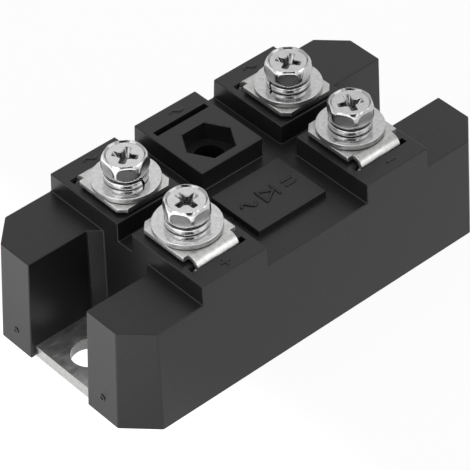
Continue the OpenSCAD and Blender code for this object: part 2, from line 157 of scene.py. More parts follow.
def add_relief(tree, surface, height, bump):
    """Lets a pattern raise the surface by up to some millimetres."""
    relief = place(tree, "ShaderNodeBump", {"Height": height, "Distance": bump * MM})
    tree.links.new(relief.outputs["Normal"], surface["Normal"])


def place_effect(tree, group, values):
    """Places an effect in a material with the material's own values."""
    effect = place(tree, "ShaderNodeGroup", node_tree=group)
    for label, value in values.items():
        effect.inputs[label.replace("_", " ")].default_value = value
    return effect.outputs


def noted(tree, name):
    """What a mesh notes of itself under a name, as a number at each point."""
    return place(tree, "ShaderNodeAttribute", attribute_name=name).outputs["Fac"]


def metal(name, bump, rougher=None, toned=None, **values):
    """A metal finish from the plating effect; a mesh may note where it is rougher and how bright it is."""
    material, tree, surface = begin_material(name)
    surface["Metallic"].default_value = 1.0
    effect = place_effect(tree, PLATED, values)
    color, rough = effect["Color"], effect["Roughness"]
    if toned:
        color = scaled(tree, color, noted(tree, toned))
    if rougher:
        rough = reckon(tree, "MULTIPLY_ADD", noted(tree, rougher), ROUGHER_BY, rough)
    tree.links.new(color, surface["Base Color"])
    tree.links.new(rough, surface["Roughness"])
    add_relief(tree, surface, effect["Height"], bump)
    return material


def merged(node, weld=0.001, flat_within=0.3):
    """A CAD solid as one closed mesh whose flat faces are whole again; weld in mm, flat_within in degrees."""
    mesh = bpy.data.meshes.new(node)
    shell = bmesh.new()
    shell.from_mesh(nodes[node].data)
    for layer in list(shell.loops.layers.float_vector.values()):
        shell.loops.layers.float_vector.remove(layer)
    bmesh.ops.remove_doubles(shell, verts=shell.verts, dist=weld * MM)
    bmesh.ops.dissolve_limit(shell, angle_limit=math.radians(flat_within), verts=shell.verts,
                             edges=shell.edges)
    shell.to_mesh(mesh)
    shell.free()
    for name in ("custom_normal", "UVMap"):
        if name in mesh.attributes:
            mesh.attributes.remove(mesh.attributes[name])
    return mesh


def set_out(name, data):
    """A new object in the scene."""
    piece = bpy.data.objects.new(name, data)
    bpy.context.scene.collection.objects.link(piece)
    return piece


def show(name, mesh, material, slot, *stands_for):
    """Puts a finished mesh on the module and hides the CAD solids that it stands for."""
    piece = set_out(name, mesh)
    if material not in mesh.materials.values():
        mesh.materials.clear()
        mesh.materials.append(material)
    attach(piece, BODY)
    if stands_for:
        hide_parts(*stands_for)
    return piece


def eased(mesh, radius, steps, least_turn=25.0, gain=None):
    """The mesh with its sharp edges rounded; gain(edge) scales the radius of an edge, from 0 to 1."""
    shell = bmesh.new()
    shell.from_mesh(mesh)
    weight = shell.edges.layers.float.new("bevel_weight_edge")
    for edge in shell.edges:
        if len(edge.link_faces) == 2 and edge.calc_face_angle(0) > math.radians(least_turn):
            edge[weight] = gain(edge) if gain else 1.0
    shell.to_mesh(mesh)
    shell.free()
    mesh.shade_smooth()
    mesh.set_sharp_from_angle(angle=math.radians(least_turn))
    carrier = set_out("carrier", mesh)
    rounding = carrier.modifiers.new("rounding", "BEVEL")
    rounding.width = radius
    rounding.segments = steps
    rounding.limit_method = "WEIGHT"
    rounding.use_clamp_overlap = False
    rounding.miter_outer = "MITER_ARC"
    rounding.harden_normals = True
    graph = bpy.context.evaluated_depsgraph_get()
    done = bpy.data.meshes.new_from_object(carrier.evaluated_get(graph))
    bpy.data.objects.remove(carrier)
    return done


plate_nickel = metal("plate_nickel", bump=0.03, Tint=(0.59, 0.59, 0.585, 1), Cloud_Size=2.0, Cloud_Depth=0.7,
                     Grain_Scale=(0.3, 4.0, 4.0), Roughness=0.4, Roughness_Spread=0.3)
sheared_nickel = metal("sheared_nickel", bump=0.02, Tint=(0.44, 0.44, 0.435, 1), Cloud_Size=0.7,
                       Cloud_Depth=0.7, Grain_Scale=(5.0, 5.0, 0.5), Roughness=0.3, Roughness_Spread=0.3)
# Painted shade: the walls of the two screw holes get a much darker copy of the plating, for the shade inside
# them.
hole_shade_nickel = metal("hole_shade_nickel", bump=0.02, Tint=(0.17, 0.17, 0.168, 1), Cloud_Size=0.8,
                       Cloud_Depth=0.8, Grain_Scale=(1.0, 1.0, 5.0), Roughness=0.3, Roughness_Spread=0.3)
plate_mesh = eased(merged("base_plate"), PLATE_EDGE * MM, 2)
for finish in (plate_nickel, sheared_nickel, hole_shade_nickel):
    plate_mesh.materials.append(finish)
end_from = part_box("base_plate")[1].x - PLATE_END * MM
# Level faces keep the plating, the ends and sides the sheared finish, and the hole walls the painted shade.
for face in plate_mesh.polygons:
    at_end = abs(face.center.x) > end_from or abs(face.center.y) > HOLE_REACH * MM
    face.material_index = 0 if abs(face.normal.z) > LEVEL_NORMAL else 1 if at_end else 2
show("plate", plate_mesh, plate_nickel, "plate_metal", "base_plate")


# Circuit
# A ceramic substrate with copper tracks, four diode chips, two copper jumpers and a strap, all under clear
# soft filling. It is sealed under the housing, so its pieces keep their CAD form and get the real finishes.

PATCH_STOPS = (0.35, 0.65)


def plain_finish(name, low, high, size, roughness, bump, metallic=0.0):
    """A finish that wanders between two colours over patches of the given size."""
    material, tree, surface = begin_material(name)
    surface["Metallic"].default_value = metallic
    surface["Roughness"].default_value = roughness
    patch = noise(tree, millimetres(tree), 1.0 / size, 5.0)
    ramp = place(tree, "ShaderNodeValToRGB", {"Fac": patch})
    for stop, color, share in zip(ramp.color_ramp.elements, (low, high), PATCH_STOPS):
        stop.color = (*color, 1)
        stop.position = share
    tree.links.new(ramp.outputs["Color"], surface["Base Color"])
    add_relief(tree, surface, patch, bump)
    return material


circuit = {
    "ceramic": plain_finish("alumina", (0.84, 0.83, 0.79), (0.9, 0.89, 0.86), 0.8, 0.45, 0.01),
    "track": plain_finish("track_copper", (0.62, 0.33, 0.2), (0.75, 0.45, 0.29), 1.5, 0.35, 0.01, 1.0),
    "jumper": plain_finish("clip_copper", (0.66, 0.36, 0.22), (0.76, 0.46, 0.3), 0.9, 0.28, 0.01, 1.0),
    "bus": plain_finish("strap_copper", (0.66, 0.36, 0.22), (0.76, 0.46, 0.3), 1.2, 0.3, 0.01, 1.0),
    "diode": plain_finish("silicon", (0.2, 0.21, 0.25), (0.3, 0.31, 0.36), 0.5, 0.22, 0.004, 1.0),
    "gel": plain_finish("silicone", (0.7, 0.73, 0.74), (0.78, 0.8, 0.8), 4.0, 0.18, 0.02),
}
for name, piece in nodes.items():
    finish = circuit.get(name.split("_")[0])
    if finish:
        piece.data.materials.clear()
        piece.data.materials.append(finish)


# Housing
# One moulding of black glass-filled plastic with a fine spark-eroded surface and softly rounded edges.
# It is glued to the plate. The blocks, the label plate and all pockets belong to the same moulding.

ROW = 7.55
COLUMN = 17.9
SHOULDER = 20.2
BLOCK_TOP = 24.0
HOUSING_EDGE = 0.22
SHORTEST_EASED = 0.9
FOOT_TOP = 2.5
SLOT_Y, SLOT_REACH, SLOT_FOOT = 14.6, 0.8, 16.0
POCKET_X, POCKET_Y, MIDDLE_WALL = 5.2, 4.6, 2.5
HOLLOW_X, HOLLOW_Y, HOLLOW_TOP = 23.0, 17.2, 20.0
LABEL_X, LABEL_NEAR, LABEL_FAR = 7.6, -13.0, -1.1
LEVEL_WITHIN = 0.1
FLOW_RANGE, FLOW_SHADES, FLOW_ROUGHNESS = (0.3, 0.7), (0.88, 1.12), 0.12
DUST_SCALE, DUST_FROM, DUST_TO, DUST_MOST = 2.2, 0.7, 0.78, 0.05


def moulded_surface():
    """Moulded plastic: a fine even grain, slow clouds from the flow of the melt and a little dust."""
    group, given, result = begin_effect(
        "moulded_surface",
        [("Tint", "NodeSocketColor", (0.02, 0.02, 0.021, 1)),
         ("Dust Tint", "NodeSocketColor", (0.3, 0.3, 0.3, 1)),
         ("Grain Size", "NodeSocketFloat", 0.2), ("Cloud Size", "NodeSocketFloat", 12.0),
         ("Roughness", "NodeSocketFloat", 0.5)],
        [("Color", "NodeSocketColor"), ("Roughness", "NodeSocketFloat"), ("Height", "NodeSocketFloat")])
    at = millimetres(group)
    fine = reckon(group, "DIVIDE", 1.0, given["Grain Size"])
    grain = noise(group, at, fine, 2.0, Roughness=0.65)
    pits = place(group, "ShaderNodeTexVoronoi", {"Vector": at, "Scale": fine}, feature="SMOOTH_F1")
    cloud = noise(group, at, reckon(group, "DIVIDE", 1.0, given["Cloud Size"]), 3.0)
    tint = scaled(group, given["Tint"], remapped(group, cloud, *FLOW_RANGE, *FLOW_SHADES))
    dust = remapped(group, noise(group, at, DUST_SCALE, 1.0), DUST_FROM, DUST_TO, 0.0, DUST_MOST)
    mixed = place(group, "ShaderNodeMix", {"Factor": dust, 6: tint, 7: given["Dust Tint"]}, data_type="RGBA")
    group.links.new(mixed.outputs[2], result.inputs["Color"])
    uneven = reckon(group, "SUBTRACT", cloud, 0.5)
    rough = reckon(group, "MULTIPLY_ADD", uneven, FLOW_ROUGHNESS, given["Roughness"])
    group.links.new(rough, result.inputs["Roughness"])
    group.links.new(reckon(group, "ADD", pits.outputs["Distance"], grain), result.inputs["Height"])
    return group


MOULDED = moulded_surface()


def moulding(name, bump, gloss, **values):
    """A plastic finish from the moulded surface effect, with its own values."""
    material, tree, surface = begin_material(name)
    surface["Specular IOR Level"].default_value = gloss
    effect = place_effect(tree, MOULDED, values)
    tree.links.new(effect["Color"], surface["Base Color"])
    tree.links.new(effect["Roughness"], surface["Roughness"])
    add_relief(tree, surface, effect["Height"], bump)
    return material


def by_pocket(point):
    """Whether a point lies at one of the four nut pockets or at the vacant one between them."""
    x, y = abs(point.x), abs(point.y)
    used = y > MIDDLE_WALL and abs(y - ROW) < POCKET_Y and abs(x - COLUMN) < POCKET_X
    return used or x < POCKET_X and abs(point.y - ROW) < POCKET_Y


def housing_gain(edge):
    """Which edges of the moulding are rounded: the outer ones, but not the small ones of slots and wells."""
    ends = [vertex.co / MM for vertex in edge.verts]
    if edge.calc_length() < SHORTEST_EASED * MM or max(p.z for p in ends) < FOOT_TOP:
        return 0.0
    at_slot = all(abs(abs(p.y) - SLOT_Y) < SLOT_REACH and abs(p.z) > SLOT_FOOT for p in ends)
    inside = all(abs(p.x) < HOLLOW_X and abs(p.y) < HOLLOW_Y and p.z < HOLLOW_TOP for p in ends)
    label_foot = all(abs(p.z - SHOULDER) < LEVEL_WITHIN and abs(p.x) < LABEL_X and
                     LABEL_NEAR < p.y < LABEL_FAR for p in ends)
    return 0.0 if at_slot or all(map(by_pocket, ends)) or inside or label_foot else 1.0


black = moulding("housing_black", bump=0.02, gloss=0.36, Tint=(0.0100, 0.0100, 0.0104, 1), Roughness=0.34)
housing_mesh = eased(merged("housing"), HOUSING_EDGE * MM, 3, gain=housing_gain)
show("moulded_housing", housing_mesh, black, "housing_plastic", "housing")


# Captive nuts
# Plated steel nuts that lie in the hexagon pockets and stand a little above the blocks.
# The four are alike, so one is placed on the four blocks, as all of the terminal hardware is.

PLACES = ("ac_left", "ac_right", "plus", "minus")
TONES = (1.0, 0.88, 1.0, 0.84)
TURNS = {
    "row_turn": (0, 0, 180, 180),
    "head_turn": (24.6, 19.6, 1.8, 0.5),
    "cross_turn": (34.9, 29.6, 92.0, 65.6),
    "split_turn": (-82.0, 174.0, 40.0, 75.0),
    "washer_turn": (15.0, 130.0, 250.0, 310.0),
}
NUT_EDGE = 0.12
SHARP_FROM = 40.0


def place_number(point):
    """Which of the four terminals a point belongs to."""
    return (0 if point.y > 0 else 2) + (0 if point.x < 0 else 1)


def note(mesh, name, values):
    """Notes one number for each point of a mesh, for a finish or a tree to read."""
    mesh.attributes.new(name, "FLOAT", "POINT").data.foreach_set("value", values)


def note_tone(mesh):
    """Notes on a mesh the tone given to each terminal's metal; the two terminals at +X are drawn darker."""
    note(mesh, "tone", [TONES[place_number(vertex.co)] for vertex in mesh.vertices])


def terminal_places():
    """One point for each terminal, with the turn of each piece that stands there."""
    mesh = bpy.data.meshes.new("terminal_places")
    mesh.from_pydata([(x * COLUMN * MM, y * ROW * MM, 0) for y in (1, -1) for x in (-1, 1)], [], [])
    for name, turns in TURNS.items():
        note(mesh, name, [math.radians(turn) for turn in turns])
    return mesh


def begin_build(name, inputs):
    """A Geometry Nodes tree with named inputs (name, kind), and its two end nodes."""
    tree = bpy.data.node_groups.new(name, "GeometryNodeTree")
    tree.interface.new_socket("Geometry", in_out="INPUT", socket_type="NodeSocketGeometry")
    for label, kind in inputs:
        tree.interface.new_socket(label, in_out="INPUT", socket_type=kind)
    tree.interface.new_socket("Geometry", in_out="OUTPUT", socket_type="NodeSocketGeometry")
    return tree, place(tree, "NodeGroupInput").outputs, place(tree, "NodeGroupOutput")


def set_on_points(tree, points, piece, seat, turn):
    """Stands a piece on each point, at a height and turned by a named attribute of the point."""
    angle = place(tree, "GeometryNodeInputNamedAttribute", {"Name": turn}, data_type="FLOAT").outputs[0]
    spin = place(tree, "ShaderNodeCombineXYZ", {"Z": angle}).outputs[0]
    lift = place(tree, "ShaderNodeCombineXYZ", {"Z": seat}).outputs[0]
    raised = place(tree, "GeometryNodeSetPosition", {"Geometry": points, "Offset": lift}).outputs[0]
    form = place(tree, "GeometryNodeObjectInfo", {"Object": piece}).outputs["Geometry"]
    stood = place(tree, "GeometryNodeInstanceOnPoints",
                  {"Points": raised, "Instance": form, "Rotation": spin}).outputs[0]
    return place(tree, "GeometryNodeRealizeInstances", {"Geometry": stood}).outputs[0]


def repeat_tree():
    """Stands one piece on each terminal and gives it its finish."""
    tree, given, result = begin_build("on_each_terminal", [
        ("Piece", "NodeSocketObject"), ("Seat", "NodeSocketFloat"), ("Turn", "NodeSocketString"),
        ("Finish", "NodeSocketMaterial")])
    stood = set_on_points(tree, given["Geometry"], given["Piece"], given["Seat"], given["Turn"])
    done = place(tree, "GeometryNodeSetMaterial", {"Geometry": stood, "Material": given["Finish"]})
    tree.links.new(done.outputs[0], result.inputs["Geometry"])
    return tree


def build(tree, start, values):
    """Runs a Geometry Nodes tree on a mesh and returns the plain mesh that comes out."""
    carrier = set_out("carrier", start)
    maker = carrier.modifiers.new("maker", "NODES")
    maker.node_group = tree
    for item in tree.interface.items_tree:
        if item.in_out == "INPUT" and item.name in values:
            maker[item.identifier] = values[item.name]
    graph = bpy.context.evaluated_depsgraph_get()
    made = bpy.data.meshes.new_from_object(carrier.evaluated_get(graph))
    bpy.data.objects.remove(carrier)
    return made


def pattern(name, mesh):
    """A hidden object that holds one piece, for the trees that repeat it."""
    form = set_out(name, mesh)
    form.hide_render = True
    return form


REPEAT = repeat_tree()


def on_each_terminal(name, mesh, seat, turn, finish, slot, kind):
    """Shows one piece on all four terminals, in place of the four CAD solids of its kind."""
    form = pattern(name + "_pattern", mesh)
    values = {"Piece": form, "Seat": seat * MM, "Turn": turn, "Finish": finish}
    made = build(REPEAT, terminal_places(), values)
    bpy.data.objects.remove(form)
    made.set_sharp_from_angle(angle=math.radians(SHARP_FROM))
    note_tone(made)
    return show(name, made, finish, slot, *[kind + "_" + terminal for terminal in PLACES])


nut_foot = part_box("nut_ac_left")[0].z
nut_mesh = merged("nut_ac_left")
nut_mesh.transform(Matrix.Translation((COLUMN * MM, -ROW * MM, -nut_foot)))
nut_steel = metal("nut_plating", bump=0.006, Tint=(0.56, 0.56, 0.56, 1), Cloud_Size=2.0, Cloud_Depth=0.2,
                  Grain_Scale=(3.0, 3.0, 0.6), Roughness=0.3, Roughness_Spread=0.12)
on_each_terminal("nuts", eased(nut_mesh, NUT_EDGE * MM, 2), nut_foot / MM, "row_turn", nut_steel,
                 "fastener_steel", "nut")


# Terminal strips
# Punched and plated sheet, folded down over the block's outer side into its slot, with a soldered foot.
# Each is swept along its own bends, so that its width changes where the punch cut it.

STRIP_T = 0.9
STRIP_TOP = 25.4
STRIP_OUT = 15.05
HEAD_CUT = ((2.05, 4.3), (2.13, 4.38), (3.27, 5.52), (3.4, 5.6), (12.7, 5.6), (12.81, 5.5), (12.85, 4.4),
            (13.0, 4.4))
RISER_CUT = ((23.4, 4.4), (22.8, 5.3), (18.2, 5.3), (16.8, 2.5))
FOLD_R = 1.9
FOLD_HALF = 4.4
FOOT_R = 1.5
FOOT_HALF = 2.5
FOOT_Z = 3.2
FOOT_END = 11.65
FOLD_STEPS = 14
EDGE_R = 0.13
SHEARED_NORMAL = 0.8
FOLD_PAINTED_SHADE, FOLD_PAINTED_SHADE_OVER = 0.14, 0.4
FOLD_PAINTED_HIGHLIGHT, FOLD_PAINTED_HIGHLIGHT_FROM, FOLD_PAINTED_HIGHLIGHT_OVER = 0.8, 0.6, 0.35


def bend(y, z, radius, start, half):
    """Stations along a quarter bend of the strip about a centre, from a normal's start angle downwards."""
    stations = []
    for i in range(FOLD_STEPS + 1):
        turn = start - 90.0 * i / FOLD_STEPS
        across, up = math.cos(math.radians(turn)), math.sin(math.radians(turn))
        stations.append((y + radius * across, z + radius * up, turn, half))
    return stations


def strip_stations():
    """Stations of the strip's outer face, from head to foot: y, z, turn of the normal, half width."""
    head = [(y, STRIP_TOP, 90.0, half) for y, half in HEAD_CUT]
    fold = bend(STRIP_OUT - FOLD_R, STRIP_TOP - FOLD_R, FOLD_R, 90.0, FOLD_HALF)
    riser = [(STRIP_OUT, z, 0.0, half) for z, half in RISER_CUT]
    heel = bend(STRIP_OUT - FOOT_R, FOOT_Z + FOOT_R, FOOT_R, 0.0, FOOT_HALF)
    return head + fold + riser + heel + [(FOOT_END, FOOT_Z, -90.0, FOOT_HALF)]


def edge_ring(half, thick, radius, steps=3):
    """Outline of a flat bar's section with rounded edges, as (across, depth below the outer face)."""
    ring = []
    for across, depth, start in ((1, 0, 0), (-1, 0, 90), (-1, 1, 180), (1, 1, 270)):
        for i in range(steps + 1):
            turn = math.radians(start + 90.0 * i / steps)
            ring.append((across * (half - radius) + radius * math.cos(turn),
                         (radius if depth == 0 else thick - radius) - radius * math.sin(turn)))
    return ring


def face_outward(mesh):
    """Turns all faces of a closed mesh outwards."""
    shell = bmesh.new()
    shell.from_mesh(mesh)
    bmesh.ops.recalc_face_normals(shell, faces=shell.faces)
    shell.to_mesh(mesh)
    shell.free()


def ring_shell(name, rings, closed=False):
    """A mesh skin over rings of points that all have the same count, with flat ends or joined end to end."""
    count = len(rings[0])
    faces = []
    for i in range(len(rings) if closed else len(rings) - 1):
        a, b = i * count, (i + 1) % len(rings) * count
        for j in range(count):
            k = (j + 1) % count
            faces.append((a + j, a + k, b + k, b + j))
    if not closed:
        faces.append(tuple(range(count)))
        faces.append(tuple(len(rings) * count - 1 - j for j in range(count)))
    mesh = bpy.data.meshes.new(name)
    mesh.from_pydata([tuple(c * MM for c in p) for ring in rings for p in ring], [], faces)
    face_outward(mesh)
    mesh.shade_smooth()
    return mesh


def strip_mesh():
    """One strip with its terminal's axis at the origin."""
    rings = []
    for y, z, turn, half in strip_stations():
        ny, nz = math.cos(math.radians(turn)), math.sin(math.radians(turn))
        rings.append([(x, y - ROW - ny * d, z - nz * d) for x, d in edge_ring(half, STRIP_T, EDGE_R)])
    return ring_shell("strip", rings)


def refinish(mesh, material, chosen):
    """Gives the chosen faces of a finished mesh another finish."""
    mesh.materials.append(material)
    for face in mesh.polygons:
        if chosen(face):
            face.material_index = len(mesh.materials) - 1


def eased_step(share):
    """Rises from 0 to 1 with level ends while the share goes from 0 to 1."""
    share = min(max(share, 0.0), 1.0)
    return share * share * (3.0 - 2.0 * share)


strip_plating = metal("terminal_plating", toned="tone", bump=0.005, Tint=(0.545, 0.545, 0.54, 1),
                      Cloud_Size=0.7, Cloud_Depth=0.8, Grain_Scale=(0.35, 9.0, 9.0), Roughness=0.33,
                      Roughness_Spread=0.16)
sheared_plating = metal("sheared_plating", toned="tone", bump=0.01, Tint=(0.46, 0.46, 0.455, 1),
                        Cloud_Size=1.0, Cloud_Depth=0.6, Grain_Scale=(4.0, 4.0, 0.6), Roughness=0.48,
                        Roughness_Spread=0.2)
strips = on_each_terminal("terminal_strips", strip_mesh(), 0.0, "row_turn", strip_plating, "terminal_metal",
                          "terminal")
refinish(strips.data, sheared_plating, lambda face: abs(face.normal.x) > SHEARED_NORMAL)
# Painted light on the strips, by the way each point faces: the tone is lowered a little where the strip
# starts to face outwards over the fold, as painted shade, and raised strongly where it faces nearly straight
# out, as a painted highlight on the lower fold and the riser.
for vertex, tone in zip(strips.data.vertices, strips.data.attributes["tone"].data):
    bent = vertex.normal.y * math.copysign(1, vertex.co.y)
    painted_shade = FOLD_PAINTED_SHADE * eased_step(bent / FOLD_PAINTED_SHADE_OVER)
    tone.value *= 1.0 - painted_shade + FOLD_PAINTED_HIGHLIGHT * eased_step((bent - FOLD_PAINTED_HIGHLIGHT_FROM) / FOLD_PAINTED_HIGHLIGHT_OVER)


# Washers
# Under each head lie a plain washer with a rounded upper edge and a split spring washer of round-edged wire.
# Both are plated steel. The two ends of a spring washer stand a little apart in height.

BORE_R = 2.6
WASHER_R = 5.85
WASHER_T = 1.1
WASHER_Z = 25.4
WASHER_RIM = 5.5
SPRING_R = 3.75
SPRING_T = 1.25
SPRING_Z = 26.5
SPRING_SPLIT = 0.5
SPRING_LEAN = 20.0
SPRING_LIFT = 0.07
SPRING_CUT = 0.32
SPRING_RIM = 3.2
ROUND_STEPS = 128
UPRIGHT_NORMAL = 0.5
LOWER_EDGE_NORMAL = (-0.98, -0.4)
ROLLED_EDGE_NORMAL = (0.7, 0.98)


def rounded_path(corners, steps=4):
    """Points along a closed outline of (r, z, rounding) corners, each corner rounded by its own distance."""
    path = []
    for i, (r, z, cut) in enumerate(corners):
        before, after = corners[i - 1], corners[(i + 1) % len(corners)]
        ends = []
        for other in (before, after):
            length = math.hypot(other[0] - r, other[1] - z)
            ends.append((r + (other[0] - r) * cut / length, z + (other[1] - z) * cut / length))
        for k in range(steps + 1):
            t = k / steps
            path.append(tuple((1 - t) ** 2 * ends[0][c] + 2 * t * (1 - t) * (r, z)[c] + t * t * ends[1][c]
                              for c in (0, 1)))
    return path


def within(value, limits):
    """Whether a value lies between two limits."""
    return limits[0] < value < limits[1]


def off_axis(point):
    """How far a point is from the axis of its own terminal, in millimetres."""
    return math.hypot(abs(point.x) / MM - COLUMN, abs(point.y) / MM - ROW)


def washer_mesh():
    """A plain washer with its axis at the origin."""
    path = rounded_path([(BORE_R, 0, 0.1), (WASHER_R, 0, 0.3), (WASHER_R, WASHER_T, 0.16),
                         (BORE_R, WASHER_T, 0.15)])
    rings = [[(r * math.cos(t), r * math.sin(t), z) for r, z in path]
             for t in (math.tau * i / ROUND_STEPS for i in range(ROUND_STEPS))]
    return ring_shell("washer", rings, closed=True)


def spring_mesh():
    """A spring washer with its axis at the origin and its leaning split towards +X."""
    top = SPRING_T - SPRING_LIFT
    path = rounded_path([(BORE_R, 0, 0.12), (SPRING_R, 0, SPRING_CUT), (SPRING_R, top, SPRING_CUT),
                         (BORE_R, top, 0.12)])
    rings = []
    for i in range(ROUND_STEPS + 1):
        share = i / ROUND_STEPS
        ring = []
        for r, z in path:
            lean = math.tan(math.radians(SPRING_LEAN)) * (z - SPRING_T / 2)
            start, end = (math.asin((side * SPRING_SPLIT / 2 - lean) / r) for side in (1, -1))
            turn = start + (math.tau + end - start) * share
            ring.append((r * math.cos(turn), r * math.sin(turn), z + SPRING_LIFT * (1 - share)))
        rings.append(ring)
    return ring_shell("spring", rings)


washer_plating = metal("washer_plating", toned="tone", bump=0.003, Tint=(0.575, 0.575, 0.575, 1),
                       Cloud_Size=0.7, Cloud_Depth=0.6, Grain_Scale=(1.2, 5.0, 5.0), Roughness=0.17,
                       Roughness_Spread=0.12)
spring_plating = metal("spring_plating", toned="tone", bump=0.006, Tint=(0.6, 0.6, 0.6, 1), Cloud_Size=1.6,
                       Cloud_Depth=0.14, Grain_Scale=(2.0, 2.0, 6.0), Roughness=0.17, Roughness_Spread=0.08)
# Painted shade: a near-black copy of the plating for the crevices, laid on the lower rounded edge of each
# plain washer, the rolled edges of each spring washer and the seat at the foot of each head.
crevice_shade_plating = metal("crevice_shade_plating", bump=0.004, Tint=(0.06, 0.06, 0.06, 1), Cloud_Size=0.8, Cloud_Depth=0.5,
                     Grain_Scale=(2.0, 2.0, 2.0), Roughness=0.3, Roughness_Spread=0.2)
washers = on_each_terminal("plain_washers", washer_mesh(), WASHER_Z, "washer_turn", washer_plating,
                           "fastener_steel", "flat_washer").data
refinish(washers, sheared_plating,
         lambda face: abs(face.normal.z) < UPRIGHT_NORMAL and off_axis(face.center) > WASHER_RIM)
refinish(washers, crevice_shade_plating,
         lambda face: within(face.normal.z, LOWER_EDGE_NORMAL) and off_axis(face.center) > WASHER_RIM)
springs = on_each_terminal("spring_washers", spring_mesh(), SPRING_Z, "split_turn", spring_plating,
                           "fastener_steel", "spring_washer").data
refinish(springs, crevice_shade_plating,
         lambda face: within(abs(face.normal.z), ROLLED_EDGE_NORMAL) and off_axis(face.center) > SPRING_RIM)


# Terminal screws
# Bright plated steel screws with upset hexagon heads: crowned flats, barrelled corners, a sunken face with a
# thin rim, and a cross recess. The heads are turned as they were tightened, and each has its own recess.

HEAD_Z = 27.75
HEAD_H = 3.6
HALF_FLATS = 3.62
CROWN_IN, CROWN_H = 0.42, 0.75
BARREL_R = 4.4
BARREL_Z = 1.7
BARREL_OUT = 4.05
LIP_IN, LIP_H = 0.4, 0.9
UNDERCUT_SLOPE = 2.2
BEVEL_SLOPE = 0.6
RIM_LEAST = 0.05
RIM = ((0.03, 0.012), (0.0, 0.008), (-0.035, -0.025))
DISH_R = 3.5
DISH_DEPTH = 0.5
DISH_SLOPE = 0.9
DISH_FOOT = ((0.09, 0.1), (0.02, 0.022), (-0.07, 0.0))
DISH_WALL_NORMAL = (0.5, 0.85)
RECESS = ((-1.7, 2.3, 0.8, 0.12), (-0.09, 4.25, 1.08, 0.3), (0.0, 4.42, 1.25, 0.34), (0.9, 4.42, 1.25, 0.34))
FOOT_INSET = 0.44
HEAD_CORE = 1.2
THREAD_R = 2.5
THREAD_PITCH = 0.8
THREAD_DEPTH = 0.45
THREAD_STEPS, THREAD_LEVELS = 36, 75
SCREW_L = 12.0
SCREW_POINT = 0.5
SCREW_SHARP_FROM = 38.0
HEAD_STEPS = 180
SIDE_STEPS = 26
SIDE_CROWDING = 0.055
BLEND = 0.035
PRESSED_EDGE = 0.08
SEAT_H, SEAT_IN = 0.15, 0.5


def head_limits(turn, z):
    """How far from the axis a head's flat, its barrel, its undercut and its lower bevel each end it."""
    off_flat = turn % math.radians(60) - math.radians(30)
    crown, lip = (math.sqrt(max(0.0, 1 - (max(0.0, z - HEAD_H + height) / height) ** 2))
                  for height in (CROWN_H, LIP_H))
    flat = HALF_FLATS - CROWN_IN * (1 - crown)
    barrel = BARREL_OUT - BARREL_R + math.sqrt(BARREL_R ** 2 - (z - BARREL_Z) ** 2) - LIP_IN * (1 - lip)
    undercut = HALF_FLATS - FOOT_INSET + z * UNDERCUT_SLOPE
    bevel = HALF_FLATS - FOOT_INSET / 2 + z * BEVEL_SLOPE
    return flat / math.cos(off_flat), barrel, undercut, bevel


def head_radius(turn, z):
    """Distance from the axis to the outside of a head, the least of its limits, with blended edges."""
    reach = head_limits(turn, z)
    least = min(reach)
    return least - BLEND * math.log(sum(math.exp((least - r) / BLEND) for r in reach))


def pressed_share(point):
    """How far a point of a head lies on one of its pressed flats, from 0 to 1."""
    z = point.z / MM - HEAD_Z
    if not 0.0 < z < HEAD_H or off_axis(point) < HALF_FLATS - CROWN_IN:
        return 0.0
    x, y = point.x / MM - math.copysign(COLUMN, point.x), point.y / MM - math.copysign(ROW, point.y)
    turn = math.atan2(y, x) - math.radians(TURNS["head_turn"][place_number(point)])
    reach = head_limits(turn, z)
    weights = [math.exp((min(reach) - r) / PRESSED_EDGE) for r in reach]
    below_crown = min(1.0, max(0.0, (HEAD_H - CROWN_H - z) / PRESSED_EDGE))
    return weights[0] / sum(weights) * below_crown


def dish_radius(z):
    """Distance from the axis to the wall of the sunken face."""
    return DISH_R - (HEAD_H - z) * DISH_SLOPE


def rim_top(turn):
    """The height at which the crown leaves the rim no wider than its least."""
    top = HEAD_H - 0.002
    if head_radius(turn, top) >= dish_radius(top) + RIM_LEAST:
        return top
    low, high = HEAD_H - CROWN_H, top
    for _ in range(30):
        middle = (low + high) / 2
        if head_radius(turn, middle) > dish_radius(middle) + RIM_LEAST:
            low = middle
        else:
            high = middle
    return low


def head_section(turn):
    """One side of a head's section: from the axis below, out and up over the rim, and back to the axis."""
    top = rim_top(turn)
    section = [(HEAD_CORE, 0.0), (THREAD_R, 0.0)]
    for i in range(SIDE_STEPS + 1):
        share = i / SIDE_STEPS
        z = top * (share + SIDE_CROWDING * math.sin(math.tau * share))
        section.append((head_radius(turn, z), z))
    section += [(dish_radius(top) + out, top + up) for out, up in RIM]
    floor_z = HEAD_H - DISH_DEPTH
    return section + [(dish_radius(floor_z) + out, floor_z + up) for out, up in DISH_FOOT]


def head_mesh():
    """A screw head with its axis at the origin, without its recess."""
    turns = [math.tau * k / HEAD_STEPS for k in range(HEAD_STEPS)]
    sections = [head_section(turn) for turn in turns]
    rings = [[(r * math.cos(turn), r * math.sin(turn), z) for turn, (r, z) in zip(turns, level)]
             for level in zip(*sections)]
    return ring_shell("head", rings)


def cross_outline(length, width, corner):
    """The outline of a cross with cut inner corners and slightly cut wing tips."""
    half, tip = width / 2, 0.16 * width
    wing = [(length / 2, half - tip), (length / 2 - tip, half), (half + corner, half)]
    quarter = wing + [(y, x) for x, y in reversed(wing)]
    return [(x * c - y * s, x * s + y * c) for c, s in ((1, 0), (0, 1), (-1, 0), (0, -1)) for x, y in quarter]


def recess_mesh():
    """The tapered cross that is cut out of a head, a little higher than the face it is cut into."""
    face = HEAD_H - DISH_DEPTH
    return ring_shell("recess", [[(x, y, face + depth) for x, y in cross_outline(length, width, corner)]
                                 for depth, length, width, corner in RECESS])


